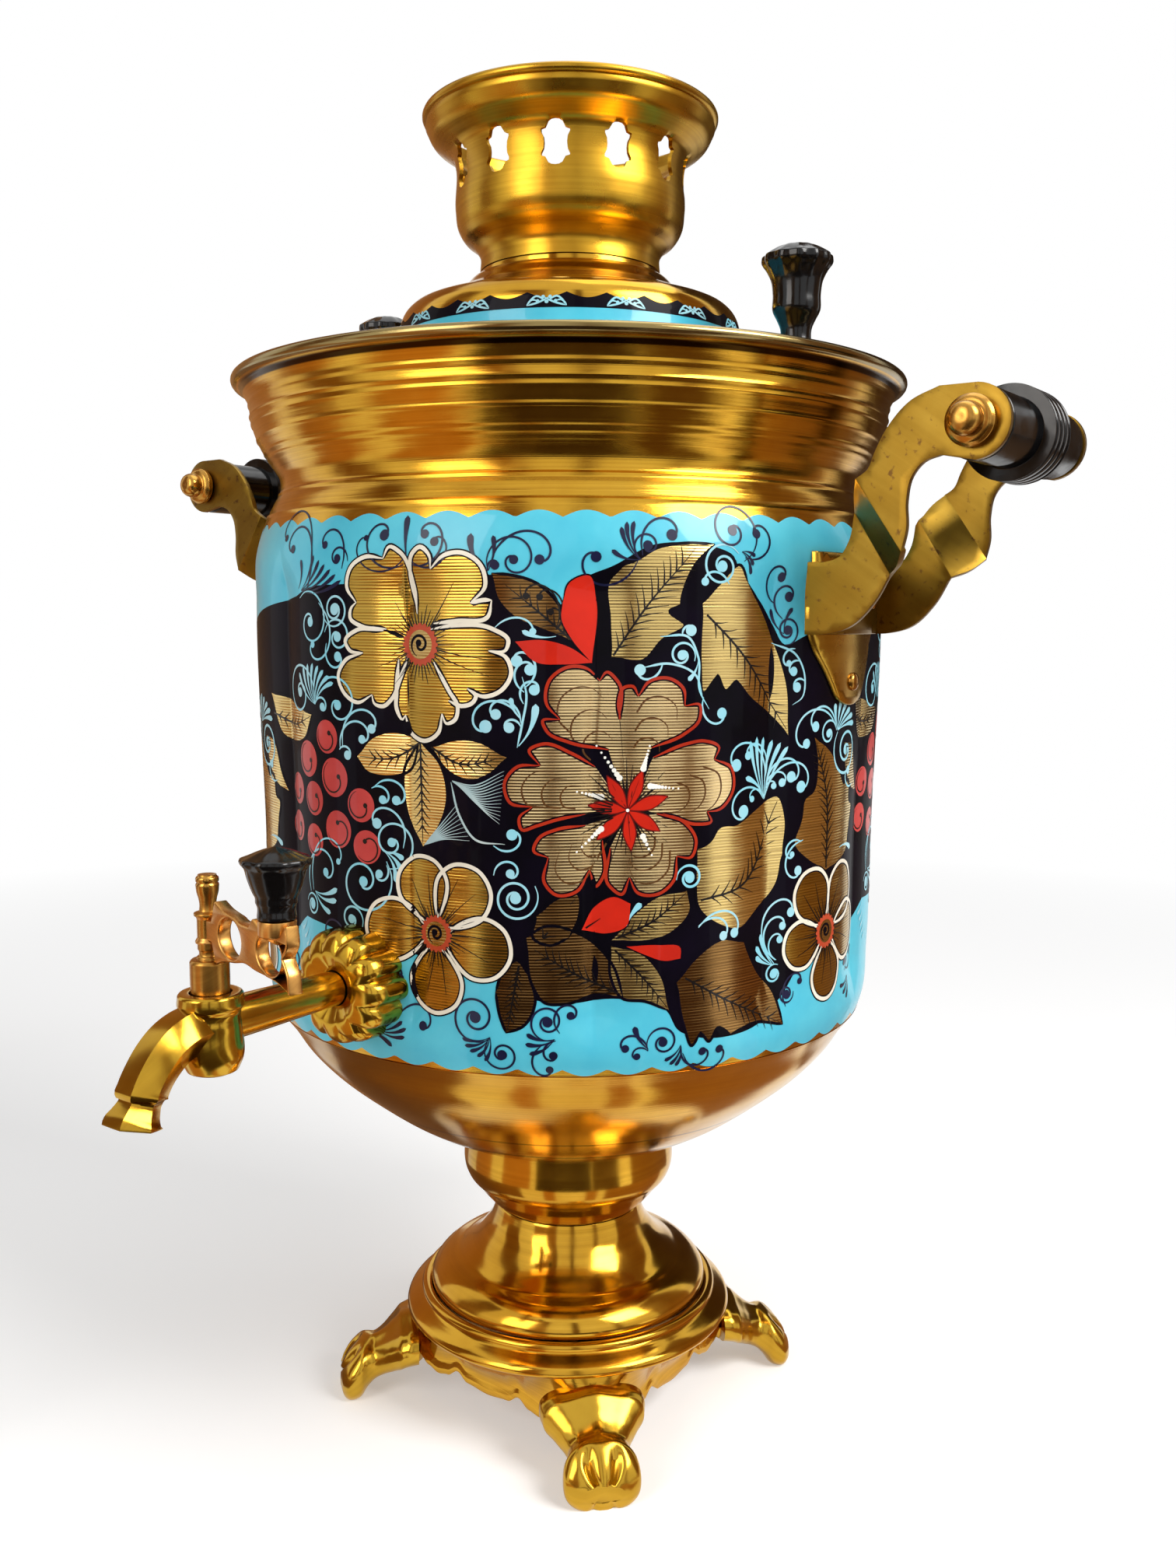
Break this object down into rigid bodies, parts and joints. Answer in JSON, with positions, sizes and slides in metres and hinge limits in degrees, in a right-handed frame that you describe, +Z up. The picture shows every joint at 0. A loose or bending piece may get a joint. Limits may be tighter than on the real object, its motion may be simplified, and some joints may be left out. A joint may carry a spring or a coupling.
{
  "type": "samovar",
  "caption": "Painted brass electric samovar on lion-paw feet, with a plug tap in front, two side handles, a lift-off lid and a pierced crown for the teapot.",
  "frame": {"origin": "on the urn's upright axis, at the floor that the four paws stand on", "axes": "+Z up; the tap points along -Y (front); the two handles lie on +X (right) and -X (left); the electric inlet is at +Y (back)"},
  "size_m": [0.3168, 0.3069, 0.418],
  "materials": {
    "brass": "polished, with fine turned lines",
    "dark_brass": "worn satin",
    "painted_wall": "gloss enamel in turquoise, black and gold",
    "bakelite": "gloss black",
    "steel": "plain",
    "rubber": "matte",
    "insulator": "matte"
  },
  "bodies": {
    "urn": {"body_shell": "painted_wall", "body_bowl": "brass", "base_plinth": "brass", "foot_front_right": "brass", "foot_back_right": "brass", "foot_back_left": "brass", "foot_front_left": "brass", "foot_screw_front_right": "steel", "foot_screw_back_right": "steel", "foot_screw_back_left": "steel", "foot_screw_front_left": "steel", "base_pedestal": "brass", "base_cup": "brass", "tie_bolt": "steel", "tie_seal": "rubber", "tie_washer": "steel", "tie_nut": "steel", "tap_body": "brass", "tap_rosette": "brass", "tap_gasket": "rubber", "tap_nut": "brass", "handle_plate_right": "brass", "handle_strap_right": "brass", "grip_rod_right": "steel", "acorn_nut_right_a": "dark_brass", "acorn_nut_right_b": "dark_brass", "rivet_right_a": "brass", "rivet_right_b": "brass", "rivet_right_low": "brass", "handle_plate_left": "brass", "handle_strap_left": "brass", "grip_rod_left": "steel", "acorn_nut_left_a": "dark_brass", "acorn_nut_left_b": "dark_brass", "rivet_left_a": "brass", "rivet_left_b": "brass", "rivet_left_low": "brass", "heating_element": "steel", "terminal_seal_right": "rubber", "terminal_nut_right": "brass", "inlet_pin_right": "steel", "terminal_seal_left": "rubber", "terminal_nut_left": "brass", "inlet_pin_left": "steel", "inlet_insulator": "insulator", "inlet_shroud": "brass"},
    "lid": {"lid": "brass", "lid_knob_right": "bakelite", "lid_knob_left": "bakelite", "lid_screw_right": "steel", "lid_screw_left": "steel"},
    "crown": {"crown": "brass"},
    "tap_key": {"tap_key": "dark_brass", "tap_lever": "brass", "tap_knob": "bakelite"},
    "grip_right": {"grip_right": "bakelite"},
    "grip_left": {"grip_left": "bakelite"}
  },
  "joints": [
    {"name": "lid_lift", "type": "slide", "parent": "urn", "child": "lid", "axis": [0, 0, 1], "range_m": [0, 0.08]},
    {"name": "crown_lift", "type": "slide", "parent": "lid", "child": "crown", "axis": [0, 0, 1], "range_m": [0, 0.05]},
    {"name": "tap_turn", "type": "hinge", "parent": "urn", "child": "tap_key", "pos_m": [0, -0.1484, 0.1605], "axis": [0, 0, 1], "continuous": true},
    {"name": "grip_right_roll", "type": "hinge", "parent": "urn", "child": "grip_right", "pos_m": [0.146, 0, 0.31], "axis": [0, 1, 0], "continuous": true},
    {"name": "grip_left_roll", "type": "hinge", "parent": "urn", "child": "grip_left", "pos_m": [-0.146, 0, 0.31], "axis": [0, 1, 0], "continuous": true}
  ]
}
